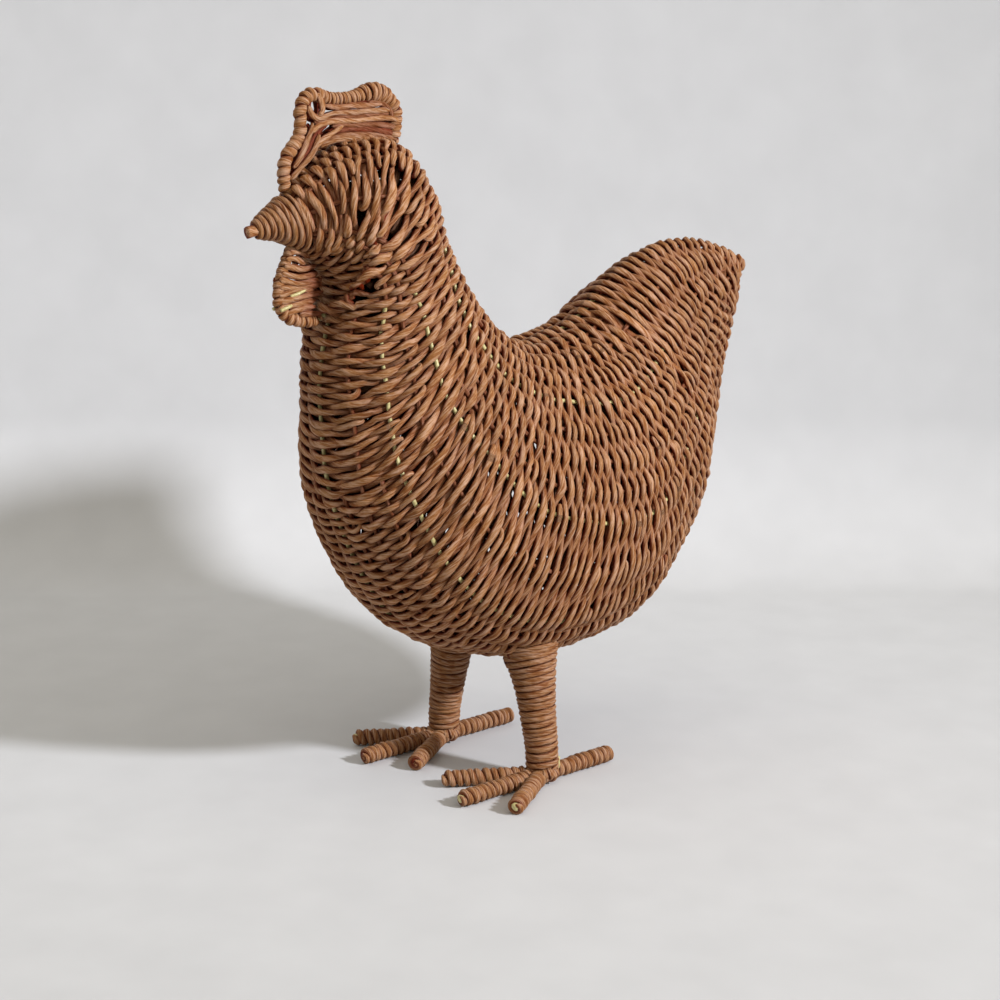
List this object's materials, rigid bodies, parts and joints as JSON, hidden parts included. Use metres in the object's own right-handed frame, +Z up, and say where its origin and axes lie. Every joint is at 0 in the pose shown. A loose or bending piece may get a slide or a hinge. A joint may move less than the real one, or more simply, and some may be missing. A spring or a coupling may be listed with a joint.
{
  "type": "woven paper hen figure",
  "caption": "Standing hen figure woven from twisted paper rope, with flat comb and wattle, coiled beak, upright tail and wrapped legs and toes.",
  "frame": {"origin": "on the floor, at the middle of the overall box", "axes": "+Z up, the hen faces -Y, its left side is +X"},
  "size_m": [0.1462, 0.356, 0.3799],
  "materials": {
    "woven_body": "twisted paper rope, plain weave, dyed cinnamon brown, matt",
    "comb": "twisted paper rope wrapped over wire, matt",
    "wattle": "twisted paper rope wrapped over wire, matt",
    "beak": "twisted paper rope, coiled, matt",
    "left_leg": "twisted paper rope wrapped over wire, matt",
    "right_leg": "twisted paper rope wrapped over wire, matt",
    "left_foot": "twisted paper rope wrapped over wire, matt",
    "right_foot": "twisted paper rope wrapped over wire, matt"
  },
  "bodies": {
    "root": {"woven_body": "woven_body", "comb": "comb", "wattle": "wattle", "beak": "beak", "left_leg": "left_leg", "right_leg": "right_leg", "left_foot": "left_foot", "right_foot": "right_foot"}
  },
  "joints": []
}
